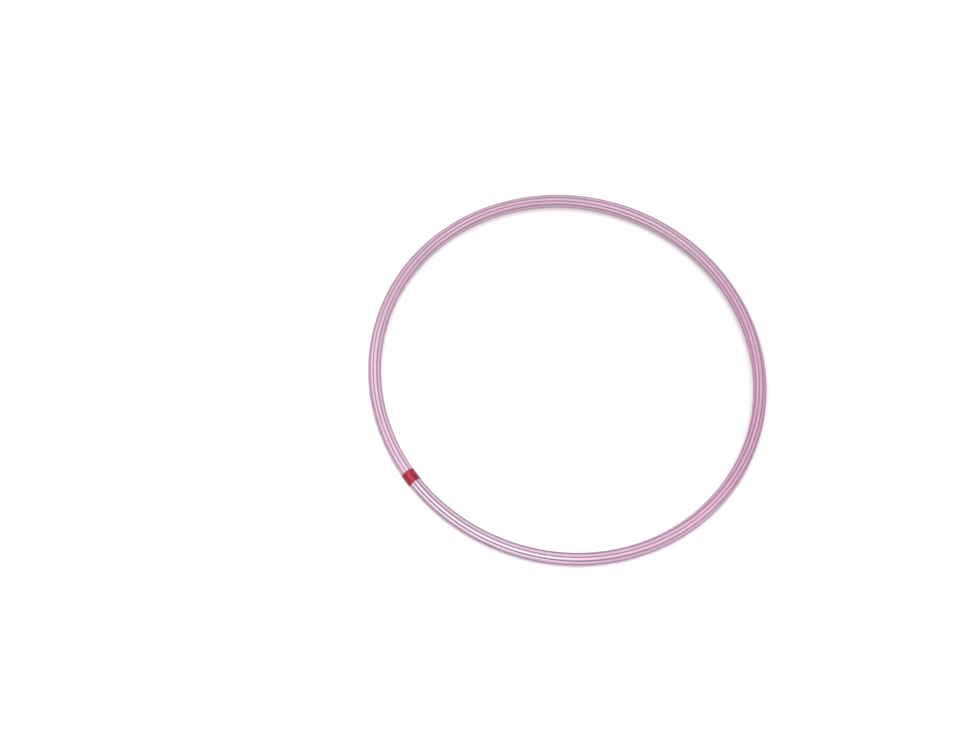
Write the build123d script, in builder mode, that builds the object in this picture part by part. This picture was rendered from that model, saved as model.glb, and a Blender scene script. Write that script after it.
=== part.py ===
from build123d import *
import os
from math import cos, degrees, pi, radians, sin

# Gymnastics hoop: one length of ribbed plastic tube bent into a ring, its two
# ends pushed onto a barbed plug and the seam bound with a band of vinyl tape.
# Millimetres, Z up. The ring lies flat in XY with its centre at the origin, and
# the seam is on the -Y side.

# ring
outer_diameter = 600.0  # across the tops of the ribs
tube_diameter = 20.0  # rib top to rib top
ring_radius = (outer_diameter - tube_diameter) / 2  # to the middle of the tube

# tube
rib_count = 10
rib_height = 0.8
groove_radius = 0.25
bore_radius = 8.2
seam_gap = 1.4  # between the tube's ends, for the plug's collar
stretch_count = 12

# plug
core_radius = 7.4
hollow_radius = 5.0
hollow_start = 2.0  # from the seam, so the plug is solid in the middle
barb_radius = 8.1
barb_length = 4.0
barb_pitch = 7.0
barb_count = 4  # on each side of the collar
first_barb = 5.0  # from the seam to the back of the nearest barb
nose_radius = 6.2
nose_length = 5.0
collar_radius = 8.9
collar_thickness = 1.2
collar_rounding = 0.3

# tape
tape_width = 19.0
tape_thickness = 0.15
tape_turns = 2  # full turns, before the overlap
tape_clearance = 0.02
overlap_start = 195.0  # degrees round the tube from its outermost point
overlap_sweep = 70.0  # how far the last turn runs on past the full ones

# Each rib is one arc from groove to groove through its own top.
rib_step = 360 / rib_count
rib_top = tube_diameter / 2
groove_bottom = rib_top - rib_height
half_chord = groove_bottom * sin(radians(rib_step / 2))
arc_height = rib_top - groove_bottom * cos(radians(rib_step / 2))
rib_radius = (half_chord**2 + arc_height**2) / (2 * arc_height)
rib_centre = rib_top - rib_radius  # from the middle of the tube


def arc(distance):
    """Degrees around the ring for a distance along the middle of the tube."""
    return degrees(distance / ring_radius)


def outwards(distance):
    """Direction away from the ring's axis, a distance along the tube from the seam."""
    turn = distance / ring_radius
    return Vector(sin(turn), -cos(turn), 0)


def onwards(distance):
    """Direction in which the tube runs, a distance along it from the seam."""
    turn = distance / ring_radius
    return Vector(cos(turn), sin(turn), 0)


def ring_section(distance):
    """Plane across the tube with its origin on the ring's axis: local x runs
    outwards and local y is up."""
    return Plane(origin=(0, 0, 0), x_dir=outwards(distance), z_dir=-onwards(distance))


def tube_plane(distance):
    """Plane across the tube with its origin in the middle of the bore, facing on
    around the ring."""
    middle = outwards(distance) * ring_radius
    return Plane(origin=middle, x_dir=outwards(distance), z_dir=onwards(distance))


def stretched_outline(lift):
    """Outline of a skin pulled tight round the ribs, lifted a distance off their
    tops: straight between the ribs and rounded over each one."""
    with BuildSketch() as outline:
        with Locations((ring_radius, 0)):
            RegularPolygon(rib_centre, rib_count)
        offset(amount=rib_radius + lift, kind=Kind.ARC)
    return outline.sketch


os.makedirs("parts", exist_ok=True)

# --- tube: ribbed outside, plain bore, all the way round but for the seam. It is
# made in equal stretches, so that no face runs the whole length of the tube ---
stretch_length = (2 * pi * ring_radius - seam_gap) / stretch_count

with BuildSketch() as tube_outline:
    with Locations((ring_radius, 0)):
        Circle(rib_centre)
        with PolarLocations(rib_centre, rib_count):
            Circle(rib_radius)
    fillet(tube_outline.vertices(), groove_radius)
    with Locations((ring_radius, 0)):
        Circle(bore_radius, mode=Mode.SUBTRACT)

with BuildPart() as tube:
    for stretch in range(stretch_count):
        with BuildSketch(ring_section(seam_gap / 2 + stretch * stretch_length)):
            add(tube_outline.sketch)
        revolve(axis=Axis.Z, revolution_arc=arc(stretch_length), clean=False)
tube.part.label = "tube"
export_step(tube.part, "parts/tube.step")

# --- joint plug: hollow curved core, barbs that hold the bore, a collar that the
# tube's ends butt against. One half is built and mirrored across the seam ---
barbs_end = first_barb + barb_count * barb_pitch

with BuildPart() as joint_plug:
    with BuildSketch(ring_section(0)):
        with Locations((ring_radius, 0)):
            Circle(core_radius)
    revolve(axis=Axis.Z, revolution_arc=arc(barbs_end))
    for barb in range(barb_count):
        with Locations(tube_plane(first_barb + barb * barb_pitch)):
            Cone(barb_radius, core_radius - 0.1, barb_length, align=(Align.CENTER, Align.CENTER, Align.MIN))
    with Locations(tube_plane(barbs_end)):
        Cone(core_radius, nose_radius, nose_length, align=(Align.CENTER, Align.CENTER, Align.MIN))
    with BuildSketch(ring_section(hollow_start)):
        with Locations((ring_radius, 0)):
            Circle(hollow_radius)
    revolve(axis=Axis.Z, revolution_arc=arc(barbs_end + nose_length), mode=Mode.SUBTRACT)
    with BuildSketch(tube_plane(0)):
        Circle(collar_radius)
    extrude(amount=collar_thickness / 2)
    mirror(about=Plane.YZ)
    collar_rims = joint_plug.edges().filter_by(
        lambda rim: rim.geom_type == GeomType.CIRCLE and abs(rim.radius - collar_radius) < 0.01
    )
    fillet(collar_rims, collar_rounding)
joint_plug.part.label = "joint_plug"
export_step(joint_plug.part, "parts/joint_plug.step")

# --- joint tape: bridges the grooves from rib top to rib top, and its last turn
# runs on over the first and ends in a step ---
with BuildSketch() as overlap_sector:
    with BuildLine():
        sector_start = PolarLine((ring_radius, 0), tube_diameter, overlap_start)
        sector_end = PolarLine((ring_radius, 0), tube_diameter, overlap_start + overlap_sweep)
        Line(sector_start @ 1, sector_end @ 1)
    make_face()

with BuildPart() as joint_tape:
    with BuildSketch(ring_section(-tape_width / 2)):
        add(stretched_outline(tape_clearance + (tape_turns + 1) * tape_thickness))
        add(overlap_sector.sketch, mode=Mode.INTERSECT)
        add(stretched_outline(tape_clearance + tape_turns * tape_thickness))
        add(stretched_outline(tape_clearance), mode=Mode.SUBTRACT)
    revolve(axis=Axis.Z, revolution_arc=arc(tape_width))
joint_tape.part.label = "joint_tape"
export_step(joint_tape.part, "parts/joint_tape.step")
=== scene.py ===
"""Looks of the rhythmic hoop: a ribbed, pearly pink tube with its taped seam, lying
on a pale floor. Metres, Z up, the seam on the -Y side."""

from math import cos, pi, radians, sin

import bpy
import numpy as np
from mathutils import Matrix, Vector


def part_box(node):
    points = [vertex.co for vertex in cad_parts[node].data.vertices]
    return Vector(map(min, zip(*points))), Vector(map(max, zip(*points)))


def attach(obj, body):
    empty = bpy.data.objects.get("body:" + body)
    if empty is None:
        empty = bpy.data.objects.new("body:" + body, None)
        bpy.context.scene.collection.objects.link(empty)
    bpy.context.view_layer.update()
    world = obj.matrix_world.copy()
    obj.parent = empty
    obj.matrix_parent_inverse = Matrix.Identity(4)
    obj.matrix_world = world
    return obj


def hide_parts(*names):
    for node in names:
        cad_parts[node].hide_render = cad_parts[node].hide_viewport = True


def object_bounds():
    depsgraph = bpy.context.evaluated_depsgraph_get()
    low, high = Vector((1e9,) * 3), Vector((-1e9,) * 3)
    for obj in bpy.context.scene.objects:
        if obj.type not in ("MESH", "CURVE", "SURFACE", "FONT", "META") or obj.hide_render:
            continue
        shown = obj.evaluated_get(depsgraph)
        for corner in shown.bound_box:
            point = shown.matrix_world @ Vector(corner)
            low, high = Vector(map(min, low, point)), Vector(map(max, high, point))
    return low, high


MM = 0.001

# tube, as in the CAD model
TUBE_RADIUS = 10.0 * MM
BORE_RADIUS = 8.2 * MM
SEAM_GAP = 1.4 * MM
RIB_COUNT = 10
RIB_HEIGHT = 0.8 * MM
GROOVE_SOFTENING = 0.12 * MM

# points of the tube's mesh: rings of points along it, and points round each ring
STATIONS = 480
POINTS_PER_RIB = 12
BORE_POINTS = 40

# margins on every map, as shares of its width and of a strip's height
SIDE_MARGIN = 0.004
STRIP_MARGIN = 0.03

# heights on the tube's map: the outside, in strips, then the bore, then the cut ends
OUTSIDE_STRIPS = 5
OUTSIDE_MAP = (0.0, 0.87)
BORE_MAP = (0.87, 0.93)
END_MAP_HEIGHT = 0.965
END_MAP_RADIUS = 0.03

# how the ribs wander round the tube over its length, in degrees: a twist and two sways
RIB_PHASE = 6.0
RIB_TWIST = -62.0
RIB_SWAYS = ((9.0, 2, 0.6), (2.2, 7, 2.1))  # degrees, half waves and start of each

# how the tube's painted light and shade change along it: where each starts and ends to fade,
# in metres from the seam, or from the rosiest place. Near the seam a painted sheen and
# stronger painted groove shade; further round a pinker painted tint of reflected light
SHEEN_FADE = (0.15, 0.40)
GROOVE_SHADE_FADE = (0.15, 0.45)
ROSY_LIGHT_PLACE = 0.68
ROSY_LIGHT_FADE = (0.10, 0.30)

# tape, with its angles in degrees round the tube
TAPE_WIDTH = 19.0 * MM
TAPE_THICKNESS = 0.15 * MM
TAPE_CLEARANCE = 0.02 * MM
LAYER_GAP = 0.01 * MM
TAPE_START = 195.0
TAPE_SWEEP = 790.0
CLIMB_SWEEP = 9.0  # how far each turn takes to climb over the start of the one below
SIDE_DRIFT = 0.35 * MM  # sideways from the first turn to the last
EDGE_WANDER = 0.05 * MM
EDGE_WEAR = 0.03 * MM
WRINKLE_HEIGHT = 0.012 * MM
OWN_RIBS_FROM = (0.8 * MM, 5.0 * MM)  # from the seam: stops and has stopped bridging both
TAPE_STEP = 2.0
TAPE_COLUMNS = 30

# heights on the tape's map: its face and its underside, in strips, then its four edges
TAPE_STRIPS = 3
FACE_MAP = (0.0, 0.6)
UNDERSIDE_MAP = (0.6, 0.9)
EDGE_MAP_PITCH = 0.025
EDGE_MAP_HEIGHT = 0.02

# camera, in degrees and metres round the ring's centre; the lens is in millimetres
CAMERA_DISTANCE = 2.2
CAMERA_AZIMUTH = 35.16
CAMERA_ELEVATION = 65.98
CAMERA_ROLL = 11.36
CAMERA_AIM = (-0.114, -0.0318)  # how far right of the centre and above it
CAMERA_LENS = 53.9

# light
CEILING_LIGHT = 1.38
WALL_LIGHT = 0.25
BACKDROP = (0.94, 0.94, 0.94, 1)
SIDE_LAMP_DISTANCE = 2.4
KEY_AZIMUTH = 18.0
KEY_OUTWARDS = 0.48
KEY_HEIGHT = 0.95

# floor
FLOOR_RADIUS = 14.0
FLOOR_CORNERS = 96

# each rib is an arc through its own top, from groove to groove
HALF_RIB = pi / RIB_COUNT
GROOVE_BOTTOM = TUBE_RADIUS - RIB_HEIGHT
HALF_CHORD = GROOVE_BOTTOM * sin(HALF_RIB)
ARC_HEIGHT = TUBE_RADIUS - GROOVE_BOTTOM * cos(HALF_RIB)
RIB_RADIUS = (HALF_CHORD**2 + ARC_HEIGHT**2) / (2 * ARC_HEIGHT)
RIB_CENTRE = TUBE_RADIUS - RIB_RADIUS


# ---------------------------------------------------------------- shape of the ring
def smooth(low, high, value):
    """0 below low, 1 above high and an even curve between them."""
    share = np.clip((value - low) / (high - low), 0, 1)
    return share * share * (3 - 2 * share)


def rib_phase(turn):
    """Angle of the first rib round the tube, a turn along the ring from the seam."""
    angle = radians(RIB_PHASE) + radians(RIB_TWIST) * turn / (2 * pi)
    for sway, half_waves, start in RIB_SWAYS:
        angle = angle + radians(sway) * np.sin(half_waves / 2 * turn + start)
    return angle


def off_rib(angle):
    """Angle to the middle of the nearest rib."""
    return np.abs((angle + HALF_RIB) % (2 * HALF_RIB) - HALF_RIB)


def lobe(angle):
    """Distance of a rib's surface from the middle of the tube, at an angle from the
    middle of the rib."""
    half_width = np.sqrt(RIB_RADIUS**2 - (RIB_CENTRE * np.sin(angle)) ** 2)
    return RIB_CENTRE * np.cos(angle) + half_width


def ribbed_radius(angle):
    """Radius of the tube's outside; the grooves between two ribs are a little soft."""
    near = off_rib(angle)
    this_rib = lobe(near)
    next_rib = lobe(2 * HALF_RIB - near)
    overlap = np.maximum(GROOVE_SOFTENING - (this_rib - next_rib), 0) / GROOVE_SOFTENING
    return this_rib + overlap**2 * GROOVE_SOFTENING / 4


def taut_radius(angle, lift):
    """Radius of a skin pulled tight over the ribs: straight from rib to rib."""
    near = off_rib(angle)
    skin_radius = RIB_RADIUS + lift
    arc_end = np.arctan2(
        skin_radius * sin(HALF_RIB), RIB_CENTRE + skin_radius * cos(HALF_RIB)
    )
    straight = (RIB_CENTRE * cos(HALF_RIB) + skin_radius) / np.cos(HALF_RIB - near)
    on_rib = np.minimum(near, arc_end)
    curved = RIB_CENTRE * np.cos(on_rib) + np.sqrt(
        skin_radius**2 - (RIB_CENTRE * np.sin(on_rib)) ** 2
    )
    return np.where(near < arc_end, curved, straight)


def on_ring(ring_radius, turn, radius, angle):
    """Points at a turn along the ring and an angle round the tube: 0 is the side
    furthest from the ring's middle and 90 degrees is the top."""
    reach = ring_radius + radius * np.cos(angle)
    return np.stack(
        [reach * np.sin(turn), -reach * np.cos(turn), radius * np.sin(angle)], axis=-1
    )


# ---------------------------------------------------------------- mesh building
def sheet(grid, flip=False):
    """Quads of a grid of vertex numbers, and the row and column of every corner."""
    rows, columns = np.indices((grid.shape[0] - 1, grid.shape[1] - 1)).reshape(2, -1)
    order = ((0, 0), (1, 0), (1, 1), (0, 1))
    if flip:
        order = order[::-1]
    corner_rows = np.stack([rows + row for row, _ in order], axis=1)
    corner_columns = np.stack([columns + column for _, column in order], axis=1)
    return grid[corner_rows, corner_columns], corner_rows, corner_columns


def strips(corner_rows, corner_columns, grid, count, low, high):
    """Places of a sheet's corners on the map: its rows cut into equal strips that are
    stacked from low to high."""
    rows_each = (grid.shape[0] - 1) / count
    strip = corner_rows.min(axis=1, keepdims=True) // rows_each
    along = (corner_rows - strip * rows_each) / rows_each
    upwards = corner_columns / (grid.shape[1] - 1)
    height = (high - low) / count
    across_map = SIDE_MARGIN + (1 - 2 * SIDE_MARGIN) * along
    up_strip = STRIP_MARGIN + (1 - 2 * STRIP_MARGIN) * upwards
    return np.stack([across_map, low + height * (strip + up_strip)], axis=-1)


def build_object(name, points, parts):
    """A mesh object from its points and its parts, each a list of faces with the map
    places of their corners."""
    faces = []
    places = []
    for part_faces, part_places in parts:
        faces.extend(part_faces.tolist())
        places.append(part_places.reshape(-1, 2))
    mesh = bpy.data.meshes.new(name)
    mesh.from_pydata(points.reshape(-1, 3).tolist(), [], faces)
    layer = mesh.uv_layers.new(name="OFBake")
    layer.data.foreach_set("uv", np.concatenate(places).astype(np.float32).ravel())
    mesh.shade_smooth()
    mesh.set_sharp_from_angle(angle=radians(50))
    mesh.update()
    made = bpy.data.objects.new(name, mesh)
    bpy.context.scene.collection.objects.link(made)
    return made


def give_vectors(made, name, vectors):
    """Stores one vector per vertex for the material to read."""
    attribute = made.data.attributes.new(name, "FLOAT_VECTOR", "POINT")
    attribute.data.foreach_set("vector", vectors.astype(np.float32).ravel())


def give_values(made, name, values):
    """Stores one number per vertex for the material to read."""
    attribute = made.data.attributes.new(name, "FLOAT", "POINT")
    attribute.data.foreach_set("value", values.astype(np.float32).ravel())


def closed(grid):
    """The grid with its first column repeated after its last."""
    return np.hstack([grid, grid[:, :1]])


# ---------------------------------------------------------------- tube
def build_tube(ring_radius):
    """The ribbed tube, open at the seam, with its bore and its two cut ends."""
    half_gap = SEAM_GAP / 2 / ring_radius
    turns = np.linspace(half_gap, 2 * pi - half_gap, STATIONS + 1)[:, None]
    outer_points = RIB_COUNT * POINTS_PER_RIB

    # points stand closer together towards each groove
    share = np.arange(outer_points) / POINTS_PER_RIB
    rib = np.floor(share)
    within = HALF_RIB * np.sin(pi * (share - rib - 0.5))
    angles = 2 * HALF_RIB * (rib + 1) + within
    outer_angles = angles[None, :] + rib_phase(turns)
    outer_radii = ribbed_radius(angles)[None, :] + 0 * turns
    outer = on_ring(ring_radius, turns, outer_radii, outer_angles)

    bore_angles = outer_angles[:, :: outer_points // BORE_POINTS]
    bore = on_ring(ring_radius, turns, BORE_RADIUS, bore_angles)
    points = np.concatenate([outer.reshape(-1, 3), bore.reshape(-1, 3)])

    outer_grid = np.arange(outer[..., 0].size).reshape(outer.shape[:2])
    bore_grid = np.arange(bore[..., 0].size).reshape(bore.shape[:2]) + outer_grid.size
    outer_closed = closed(outer_grid)
    bore_closed = closed(bore_grid)
    parts = []
    faces, rows, columns = sheet(outer_closed)
    parts.append((faces, strips(rows, columns, outer_closed, OUTSIDE_STRIPS, *OUTSIDE_MAP)))
    faces, rows, columns = sheet(bore_closed, flip=True)
    parts.append((faces, strips(rows, columns, bore_closed, 1, *BORE_MAP)))
    for row, flip, across in ((0, True, 0.05), (-1, False, 0.13)):
        parts.append(cut_end(outer_closed[row], bore_closed[row], flip, across))

    tube = build_object("ribbed_tube", points, parts)
    lengths = (turns * ring_radius + 0 * outer_angles).ravel()
    bore_lengths = (turns * ring_radius + 0 * bore_angles).ravel()
    section = np.concatenate(
        [
            section_vectors(outer_radii.ravel(), outer_angles.ravel(), lengths),
            section_vectors(BORE_RADIUS, bore_angles.ravel(), bore_lengths),
        ]
    )
    give_vectors(tube, "section", section)

    # how far up a rib each point is; the bore counts as halfway
    crest = (outer_radii - GROOVE_BOTTOM) / RIB_HEIGHT
    give_values(tube, "crest", np.concatenate([crest.ravel(), 0.5 + 0 * bore_lengths]))
    return tube


def section_vectors(radius, angle, length):
    """Place across the tube, and length along it, of points round the tube."""
    return np.stack([radius * np.cos(angle), radius * np.sin(angle), length], axis=-1)


def cut_end(outer_row, bore_row, flip, across):
    """Faces that close one cut end, from the bore to the ribs, with map places."""
    rim_step = (len(outer_row) - 1) // (len(bore_row) - 1)
    faces = []
    for step in range(len(bore_row) - 1):
        rim = list(outer_row[step * rim_step : (step + 1) * rim_step + 1])
        face = rim + [bore_row[step + 1], bore_row[step]]
        faces.append(face if flip else face[::-1])
    faces = np.array(faces)
    turn = np.arange(len(faces))[:, None] * 2 * pi / len(faces) + 0 * faces
    is_rim = np.arange(faces.shape[1]) <= rim_step
    if not flip:
        is_rim = is_rim[::-1]
    radius = np.where(is_rim, END_MAP_RADIUS, 0.8 * END_MAP_RADIUS)
    places = [across + radius * np.cos(turn), END_MAP_HEIGHT + radius * np.sin(turn)]
    return faces, np.stack(places, axis=-1)


# ---------------------------------------------------------------- tape
def tape_radius(angle, across, turn, lift):
    """Radius of the tape over the two tube ends, whose ribs don't line up: it bridges
    the ribs of both near the seam, and has faint stretch wrinkles."""
    before = taut_radius(angle - rib_phase(2 * pi + np.minimum(turn, 0)), lift)
    after = taut_radius(angle - rib_phase(np.maximum(turn, 0)), lift)
    own_side = np.where(across < 0, before, after)
    over_both = np.maximum(before, after)
    near_seam = 1 - smooth(*OWN_RIBS_FROM, np.abs(across))
    radius = own_side + near_seam * (over_both - own_side)
    ripple = np.sin(5 * angle + 900 * across) + np.sin(9 * angle - 1500 * across + 1)
    return radius + WRINKLE_HEIGHT * (ripple + 2)


def build_tape(ring_radius):
    """One strip of tape wound a little over twice round the seam. Each turn climbs
    over the start of the one below, and sits slightly to one side of it."""
    steps = int(TAPE_SWEEP / TAPE_STEP)
    wound = np.linspace(0, TAPE_SWEEP, steps + 1)[:, None]
    angle = np.radians(TAPE_START + wound)
    layer = smooth(360 - CLIMB_SWEEP, 360, wound) + smooth(720 - CLIMB_SWEEP, 720, wound)
    lift = TAPE_CLEARANCE + layer * (TAPE_THICKNESS + LAYER_GAP)
    drift = SIDE_DRIFT * (wound / TAPE_SWEEP - 0.5) + EDGE_WANDER * np.sin(3 * angle)
    share = np.linspace(-0.5, 0.5, TAPE_COLUMNS + 1)[None, :]
    across = share * TAPE_WIDTH + drift
    turn = across / ring_radius
    under = tape_radius(angle, across, turn, lift)
    thickness = TAPE_THICKNESS - EDGE_WEAR * smooth(0.47, 0.5, np.abs(share))
    top = on_ring(ring_radius, turn, under + thickness, angle)
    bottom = on_ring(ring_radius, turn, under, angle)
    points = np.concatenate([top.reshape(-1, 3), bottom.reshape(-1, 3)])

    top_grid = np.arange(top[..., 0].size).reshape(top.shape[:2])
    bottom_grid = top_grid + top_grid.size
    parts = []
    faces, rows, columns = sheet(top_grid, flip=True)
    parts.append((faces, strips(rows, columns, top_grid, TAPE_STRIPS, *FACE_MAP)))
    faces, rows, columns = sheet(bottom_grid)
    parts.append((faces, strips(rows, columns, bottom_grid, TAPE_STRIPS, *UNDERSIDE_MAP)))
    edges = (
        (top_grid[:, 0], bottom_grid[:, 0], False),
        (top_grid[:, -1], bottom_grid[:, -1], True),
        (top_grid[0], bottom_grid[0], True),
        (top_grid[-1], bottom_grid[-1], False),
    )
    for number, (upper, lower, flip) in enumerate(edges):
        edge_grid = np.stack([upper, lower], axis=1)
        faces, rows, columns = sheet(edge_grid, flip)
        low = UNDERSIDE_MAP[1] + number * EDGE_MAP_PITCH
        high = low + EDGE_MAP_HEIGHT
        parts.append((faces, strips(rows, columns, edge_grid, 1, low, high)))

    tape = build_object("seam_tape", points, parts)
    length = TUBE_RADIUS * np.radians(wound) + 0 * across
    strip = np.stack([across + 0 * wound, length, layer + 0 * across], axis=-1)
    give_vectors(tape, "strip", np.concatenate([strip.reshape(-1, 3)] * 2))

    # 0 in the middle of the strip and 1 at its long edges
    edge = np.abs(share) * 2 + 0 * wound
    give_values(tape, "edge", np.concatenate([edge.ravel()] * 2))
    return tape


# ---------------------------------------------------------------- material nodes
def new_material(name):
    """A material with an empty node tree but for one Principled shader."""
    material = bpy.data.materials.new(name)
    material.use_nodes = True
    tree = material.node_tree
    tree.nodes.clear()
    output = tree.nodes.new("ShaderNodeOutputMaterial")
    shader = tree.nodes.new("ShaderNodeBsdfPrincipled")
    tree.links.new(shader.outputs["BSDF"], output.inputs["Surface"])
    return material, tree, shader


def feed(tree, socket, value):
    """Links a socket into another, or sets it to a plain value."""
    if isinstance(value, bpy.types.NodeSocket):
        tree.links.new(value, socket)
    else:
        socket.default_value = value


def read_attribute(tree, name, output):
    """What a mesh stores under a name, for each point."""
    node = tree.nodes.new("ShaderNodeAttribute")
    node.attribute_name = name
    return node.outputs[output]


def stretched(tree, vector, factors):
    """The vector with each of its parts multiplied by its own factor."""
    node = tree.nodes.new("ShaderNodeVectorMath")
    node.operation = "MULTIPLY"
    feed(tree, node.inputs[0], vector)
    node.inputs[1].default_value = factors
    return node.outputs[0]


def noise(tree, vector, factors, detail):
    """Noise from 0 to 1, with so many waves per metre along each part of the vector."""
    node = tree.nodes.new("ShaderNodeTexNoise")
    feed(tree, node.inputs["Vector"], stretched(tree, vector, factors))
    node.inputs["Scale"].default_value = 1.0
    node.inputs["Detail"].default_value = detail
    return node.outputs[0]


def remap(tree, value, low, high, to_low=0.0, to_high=1.0):
    """The value moved from one range to another, and held at the ends of that one."""
    node = tree.nodes.new("ShaderNodeMapRange")
    feed(tree, node.inputs["Value"], value)
    for name, number in zip(
        ("From Min", "From Max", "To Min", "To Max"), (low, high, to_low, to_high)
    ):
        node.inputs[name].default_value = number
    return node.outputs[0]


def maths(tree, operation, first, second):
    """One sum on two numbers."""
    node = tree.nodes.new("ShaderNodeMath")
    node.operation = operation
    feed(tree, node.inputs[0], first)
    feed(tree, node.inputs[1], second)
    return node.outputs[0]


def mix(tree, factor, first, second):
    """Mixes two colours: the first at a factor of 0 and the second at 1."""
    node = tree.nodes.new("ShaderNodeMix")
    node.data_type = "RGBA"
    feed(tree, node.inputs[0], factor)
    feed(tree, node.inputs[6], first)
    feed(tree, node.inputs[7], second)
    return node.outputs[2]


def bump(tree, height, distance, strength, normal=None):
    """Bump from a height of 0 to 1, a distance high in metres."""
    node = tree.nodes.new("ShaderNodeBump")
    feed(tree, node.inputs["Height"], height)
    node.inputs["Distance"].default_value = distance
    node.inputs["Strength"].default_value = strength
    if normal is not None:
        feed(tree, node.inputs["Normal"], normal)
    return node.outputs[0]


# ---------------------------------------------------------------- materials
def pearl_plastic():
    """Glossy pearly plastic of the tube: lilac pink where it faces the eye, with painted
    shade making it greyish and dark towards its outline and painted shade darkening the
    grooves, with fine lines drawn along the tube, pearl flake, cloudy patches and scuffed
    rib tops. It starts out with a lighter, less pink painted sheen and stronger painted
    groove shade, and a third of the way round it has a pinker painted tint of reflected
    light."""
    material, tree, shader = new_material("pearl_plastic")
    section = read_attribute(tree, "section", "Vector")
    crest = read_attribute(tree, "crest", "Fac")
    split = tree.nodes.new("ShaderNodeSeparateXYZ")
    feed(tree, split.inputs[0], section)
    length = split.outputs["Z"]

    clouds = noise(tree, section, (30, 30, 14), detail=4)
    bands = noise(tree, section, (170, 170, 3), detail=2)
    lines = noise(tree, section, (900, 900, 5), detail=2)
    flake = noise(tree, section, (5200, 5200, 3800), detail=1)
    scratches = noise(tree, section, (420, 420, 950), detail=4)
    patches = noise(tree, section, (90, 90, 40), detail=3)

    # painted shade: the colour turns greyish and darker towards the tube's outline
    weight = tree.nodes.new("ShaderNodeLayerWeight")
    weight.inputs["Blend"].default_value = 0.42
    outline = remap(tree, weight.outputs["Facing"], 0.2, 0.8)

    cloudy = remap(tree, clouds, 0.35, 0.65)
    lilac = mix(tree, cloudy, (0.46, 0.248, 0.355, 1), (0.50, 0.275, 0.36, 1))
    banded = mix(tree, remap(tree, bands, 0.42, 0.62), lilac, (0.45, 0.29, 0.385, 1))
    pearly = mix(tree, remap(tree, lines, 0.3, 0.7), banded, (0.545, 0.355, 0.46, 1))

    # painted reflected light: a pinker tint about a third of the way round the tube
    past_rosiest = maths(tree, "SUBTRACT", length, ROSY_LIGHT_PLACE)
    off_rosiest = maths(tree, "ABSOLUTE", past_rosiest, 0.0)
    rosy_light = remap(tree, off_rosiest, *ROSY_LIGHT_FADE, 0.65, 0.0)
    rosy_lit = mix(tree, rosy_light, pearly, (0.50, 0.235, 0.395, 1))
    # painted sheen: lighter and less pink at the start of the tube, just past the seam
    pale = remap(tree, length, *SHEEN_FADE, 0.55, 0.0)
    sheen_lit = mix(tree, pale, rosy_lit, (0.485, 0.375, 0.43, 1))

    outline_shaded = mix(tree, outline, sheen_lit, (0.26, 0.145, 0.215, 1))
    # painted shade darkening the grooves between the ribs, stronger near the start of the
    # tube
    in_groove = remap(tree, crest, 0.0, 0.8, 1.0, 0.0)
    groove_shade_strength = remap(tree, length, *GROOVE_SHADE_FADE, 1.35, 0.78)
    groove = maths(tree, "MULTIPLY", in_groove, groove_shade_strength)
    shaded = mix(tree, groove, outline_shaded, (0.10, 0.032, 0.095, 1))

    sparkle = maths(tree, "MULTIPLY", remap(tree, flake, 0.55, 0.75), crest)
    flaked = mix(tree, maths(tree, "MULTIPLY", sparkle, 0.25), shaded, (0.95, 0.80, 0.93, 1))
    rib_top = remap(tree, crest, 0.8, 1.0)
    worn_top = maths(tree, "MULTIPLY", rib_top, remap(tree, patches, 0.5, 0.75))
    scuff = maths(tree, "MULTIPLY", worn_top, remap(tree, scratches, 0.5, 0.75))
    colour = mix(tree, maths(tree, "MULTIPLY", scuff, 0.35), flaked, (0.84, 0.74, 0.81, 1))
    feed(tree, shader.inputs["Base Color"], colour)

    shine = remap(tree, lines, 0.3, 0.7, 0.24, 0.34)
    roughness = maths(tree, "ADD", shine, maths(tree, "MULTIPLY", scuff, 0.3))
    feed(tree, shader.inputs["Roughness"], roughness)
    shader.inputs["Metallic"].default_value = 0.25
    feed(tree, shader.inputs["Specular IOR Level"], remap(tree, crest, 0.05, 0.6, 0.1, 0.5))
    feed(tree, shader.inputs["Coat Weight"], remap(tree, crest, 0.05, 0.6, 0.1, 0.8))
    shader.inputs["Coat Roughness"].default_value = 0.16

    drawn = bump(tree, lines, 0.02 * MM, 0.6)
    grained = bump(tree, flake, 0.004 * MM, 0.5, drawn)
    scuffed = bump(tree, scuff, 0.03 * MM, 0.5, grained)
    feed(tree, shader.inputs["Normal"], scuffed)
    return material


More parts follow.
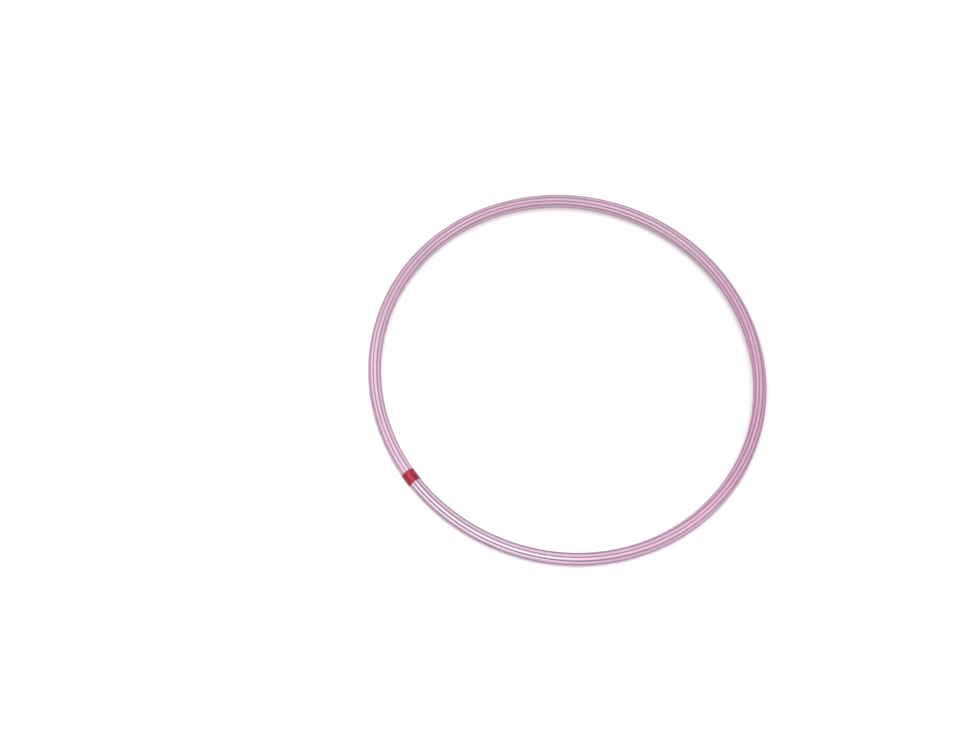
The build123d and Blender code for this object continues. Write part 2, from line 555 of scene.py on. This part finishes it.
def vinyl_tape():
    """Red vinyl tape: fine calendered grain, whitened stretch marks, dust held by the glue
    along its edges, handling scuffs, and painted shade darkening it towards its outline."""
    material, tree, shader = new_material("vinyl_tape")
    strip = read_attribute(tree, "strip", "Vector")
    edge = read_attribute(tree, "edge", "Fac")

    grain = noise(tree, strip, (2600, 2600, 1), detail=2)
    clouds = noise(tree, strip, (160, 160, 1), detail=4)
    stretch = noise(tree, strip, (700, 90, 1), detail=4)
    scratches = noise(tree, strip, (500, 900, 1), detail=5)

    cloudy = remap(tree, clouds, 0.35, 0.65)
    red = mix(tree, cloudy, (0.205, 0.001, 0.012, 1), (0.32, 0.002, 0.021, 1))
    stress = remap(tree, stretch, 0.5, 0.8, 0.0, 0.2)
    stressed = mix(tree, stress, red, (0.44, 0.02, 0.05, 1))
    at_edge = remap(tree, edge, 0.82, 1.0)
    dust = maths(tree, "MULTIPLY", at_edge, remap(tree, clouds, 0.3, 0.6, 0.4, 1.0))
    # painted shade: the red turns darker towards the tape's outline
    weight = tree.nodes.new("ShaderNodeLayerWeight")
    weight.inputs["Blend"].default_value = 0.45
    outline = remap(tree, weight.outputs["Facing"], 0.1, 0.8, 0.0, 0.8)
    outline_shaded_red = mix(tree, outline, stressed, (0.07, 0.001, 0.008, 1))
    dusty = mix(tree, maths(tree, "MULTIPLY", dust, 0.6), outline_shaded_red, (0.13, 0.015, 0.022, 1))
    scuff = remap(tree, scratches, 0.6, 0.8)
    colour = mix(tree, maths(tree, "MULTIPLY", scuff, 0.14), dusty, (0.80, 0.30, 0.34, 1))
    feed(tree, shader.inputs["Base Color"], colour)

    shine = remap(tree, clouds, 0.3, 0.7, 0.22, 0.34)
    roughness = maths(tree, "ADD", shine, maths(tree, "MULTIPLY", dust, 0.25))
    feed(tree, shader.inputs["Roughness"], roughness)
    shader.inputs["Specular IOR Level"].default_value = 0.3
    grained = bump(tree, grain, 0.012 * MM, 0.5)
    stretched_skin = bump(tree, stretch, 0.03 * MM, 0.5, grained)
    feed(tree, shader.inputs["Normal"], stretched_skin)
    return material


def moulded_plastic():
    """Unpainted moulded plastic of the plug: ivory, faintly mottled, satin, with flow
    lines and grey rub marks."""
    material, tree, shader = new_material("moulded_plastic")
    place = tree.nodes.new("ShaderNodeTexCoord").outputs["Object"]
    clouds = noise(tree, place, (90, 90, 90), detail=4)
    flow = noise(tree, place, (120, 900, 900), detail=3)
    grain = noise(tree, place, (3500, 3500, 3500), detail=2)
    rubs = noise(tree, place, (1800, 240, 240), detail=2)

    cloudy = remap(tree, clouds, 0.35, 0.65)
    ivory = mix(tree, cloudy, (0.70, 0.67, 0.60, 1), (0.80, 0.78, 0.72, 1))
    flow_line = remap(tree, flow, 0.4, 0.7, 0.0, 0.3)
    flowed = mix(tree, flow_line, ivory, (0.62, 0.59, 0.52, 1))
    rubbed = remap(tree, rubs, 0.62, 0.72)
    colour = mix(tree, maths(tree, "MULTIPLY", rubbed, 0.4), flowed, (0.48, 0.46, 0.42, 1))
    feed(tree, shader.inputs["Base Color"], colour)
    feed(tree, shader.inputs["Roughness"], remap(tree, flow, 0.3, 0.7, 0.45, 0.62))
    grained = bump(tree, grain, 0.01 * MM, 0.5)
    feed(tree, shader.inputs["Normal"], bump(tree, flow, 0.03 * MM, 0.5, grained))
    return material


def pale_floor():
    """White painted board: slight unevenness of tone, shine and surface."""
    material, tree, shader = new_material("pale_floor")
    place = tree.nodes.new("ShaderNodeTexCoord").outputs["Object"]
    clouds = noise(tree, place, (1.5, 1.5, 1.5), detail=4)
    grain = noise(tree, place, (500, 500, 500), detail=3)
    cloudy = remap(tree, clouds, 0.3, 0.7)
    tone = mix(tree, cloudy, (0.90, 0.90, 0.90, 1), (0.93, 0.93, 0.93, 1))
    feed(tree, shader.inputs["Base Color"], tone)
    feed(tree, shader.inputs["Roughness"], remap(tree, grain, 0.3, 0.7, 0.6, 0.75))
    feed(tree, shader.inputs["Normal"], bump(tree, grain, 0.05 * MM, 0.2))
    return material


# ---------------------------------------------------------------- surroundings
def build_floor(height):
    """A wide round floor at the height the hoop rests on."""
    turns = np.arange(FLOOR_CORNERS) * 2 * pi / FLOOR_CORNERS
    rim = FLOOR_RADIUS * np.stack([np.cos(turns), np.sin(turns), 0 * turns], axis=-1)
    rim[:, 2] = height
    mesh = bpy.data.meshes.new("floor")
    mesh.from_pydata(rim.tolist(), [], [list(range(len(rim)))])
    floor = bpy.data.objects.new("floor", mesh)
    bpy.context.scene.collection.objects.link(floor)
    mesh.materials.append(pale_floor())


def light_world():
    """A white studio: to the camera it is plain and white, and as a source of light it
    is a wide bright ceiling that dims towards the walls."""
    world = bpy.data.worlds.new("studio")
    bpy.context.scene.world = world
    world.use_nodes = True
    tree = world.node_tree
    tree.nodes.clear()
    output = tree.nodes.new("ShaderNodeOutputWorld")
    path = tree.nodes.new("ShaderNodeLightPath")
    background = tree.nodes.new("ShaderNodeBackground")
    parts = tree.nodes.new("ShaderNodeSeparateXYZ")
    feed(tree, parts.inputs[0], tree.nodes.new("ShaderNodeTexCoord").outputs["Generated"])
    background.inputs["Color"].default_value = (1.0, 1.0, 1.0, 1)
    light = remap(tree, parts.outputs["Z"], 0.25, 0.75, WALL_LIGHT, CEILING_LIGHT)
    strength = mix(tree, path.outputs["Is Camera Ray"], light, BACKDROP)
    feed(tree, background.inputs["Strength"], strength)
    tree.links.new(background.outputs["Background"], output.inputs["Surface"])


def direction(azimuth, elevation):
    """Unit vector towards a place round the hoop. Azimuth 0 is the -Y side."""
    turn = radians(azimuth)
    rise = radians(elevation)
    return Vector((sin(turn) * cos(rise), -cos(turn) * cos(rise), sin(rise)))


def add_softbox(name, place, aim, width, depth, power, spread=180, colour=(1, 1, 1)):
    """A soft lamp at a place, facing another. A smaller spread, in degrees, keeps its
    light closer to the line between them."""
    lamp = bpy.data.lights.new(name, "AREA")
    lamp.shape = "RECTANGLE"
    lamp.size = width
    lamp.size_y = depth
    lamp.energy = power
    lamp.color = colour
    lamp.spread = radians(spread)
    softbox = bpy.data.objects.new(name, lamp)
    softbox.location = place
    softbox.rotation_mode = "QUATERNION"
    softbox.rotation_quaternion = (place - aim).to_track_quat("Z", "Y")
    softbox.visible_camera = False
    bpy.context.scene.collection.objects.link(softbox)


def light_hoop(ring_radius):
    """A tall lamp on each side, the right one pinkish, and a lamp close above the
    near side."""
    middle = Vector((0, 0, 0))
    left = direction(-70, 48) * SIDE_LAMP_DISTANCE
    add_softbox("left", left, middle, 0.5, 1.2, 5)
    right = direction(120, 52) * SIDE_LAMP_DISTANCE
    add_softbox("right", right, middle, 0.5, 1.2, 5, colour=(1.0, 0.62, 0.9))
    outwards = direction(KEY_AZIMUTH, 0)
    above = outwards * KEY_OUTWARDS + Vector((0, 0, KEY_HEIGHT))
    near_side = outwards * ring_radius
    add_softbox("key", above, near_side, 0.9, 0.3, 1.75, spread=90, colour=(0.91, 1.0, 1.0))


def add_camera():
    """The camera above and in front of the hoop, turned a little about its own line
    of sight."""
    back = direction(CAMERA_AZIMUTH, CAMERA_ELEVATION)
    right = Vector((0, 0, 1)).cross(back).normalized()
    up = back.cross(right)
    place = back * CAMERA_DISTANCE
    aim = right * CAMERA_AIM[0] + up * CAMERA_AIM[1]
    back = (place - aim).normalized()
    right = Vector((0, 0, 1)).cross(back).normalized()
    up = back.cross(right)
    roll = radians(CAMERA_ROLL)
    rolled_right = right * cos(roll) + up * sin(roll)
    rolled_up = up * cos(roll) - right * sin(roll)
    turned = Matrix((rolled_right, rolled_up, back)).transposed()

    lens = bpy.data.cameras.new("camera")
    lens.lens = CAMERA_LENS
    camera = bpy.data.objects.new("camera", lens)
    camera.matrix_world = Matrix.Translation(place) @ turned.to_4x4()
    bpy.context.scene.collection.objects.link(camera)
    bpy.context.scene.camera = camera


# ---------------------------------------------------------------- the scene
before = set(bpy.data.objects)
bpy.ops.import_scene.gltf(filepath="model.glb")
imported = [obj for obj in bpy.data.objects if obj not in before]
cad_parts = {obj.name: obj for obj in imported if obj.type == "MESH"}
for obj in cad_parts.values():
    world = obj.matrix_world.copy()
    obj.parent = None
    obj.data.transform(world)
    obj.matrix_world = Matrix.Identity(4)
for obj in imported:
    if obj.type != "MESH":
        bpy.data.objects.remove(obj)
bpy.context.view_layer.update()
RING_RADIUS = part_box("tube")[1].x - TUBE_RADIUS

tube = build_tube(RING_RADIUS)
tube.data.materials.append(pearl_plastic())
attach(tube, "root")
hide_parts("tube")

tape = build_tape(RING_RADIUS)
tape.data.materials.append(vinyl_tape())
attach(tape, "root")
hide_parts("joint_tape")

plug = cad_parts["joint_plug"]
plug.data.materials.clear()
plug.data.materials.append(moulded_plastic())

last_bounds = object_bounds()
build_floor(last_bounds[0].z)
light_world()
light_hoop(RING_RADIUS)
add_camera()
bpy.context.scene.view_settings.view_transform = "Standard"
